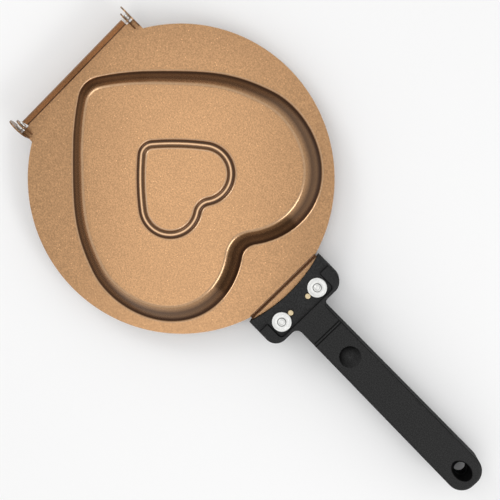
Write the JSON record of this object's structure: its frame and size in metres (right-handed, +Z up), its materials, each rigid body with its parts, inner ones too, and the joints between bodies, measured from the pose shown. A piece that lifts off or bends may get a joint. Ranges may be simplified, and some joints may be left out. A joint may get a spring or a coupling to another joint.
{
  "type": "double-sided pancake pan",
  "caption": "Hinged double pan: stamped halves with a raised heart close on each other, turn on pins at their ears and carry riveted moulded handles.",
  "frame": {"origin": "bottom centre of the closed pan's box, lying on the lower half's bead", "axes": "+X from the hinge to the handles, +Y along the hinge axis, +Z up"},
  "size_m": [0.4022, 0.215, 0.0332],
  "materials": {
    "copper_coating": "satin copper-coloured non-stick coating on sheet steel",
    "handle_moulding": "fine matt grain, moulded heat-resistant plastic",
    "washer": "bright plain aluminium",
    "rivet": "bright plain aluminium",
    "pin": "bright plain metal",
    "stud": "copper-coloured coating"
  },
  "bodies": {
    "lower_half": {"lower_shell": "copper_coating", "lower_handle": "handle_moulding", "lower_washers": "washer", "lower_rivets": "rivet", "lower_locating_studs": "stud", "hinge_pin_left": "pin", "hinge_pin_right": "pin"},
    "upper_half": {"upper_shell": "copper_coating", "upper_handle": "handle_moulding", "upper_washers": "washer", "upper_rivets": "rivet", "upper_locating_studs": "stud"}
  },
  "joints": [
    {"name": "hinge", "type": "hinge", "parent": "lower_half", "child": "upper_half", "pos_m": [-0.1931, 0, 0.0218], "axis": [0, -1, 0], "range_deg": [0, 180]}
  ]
}
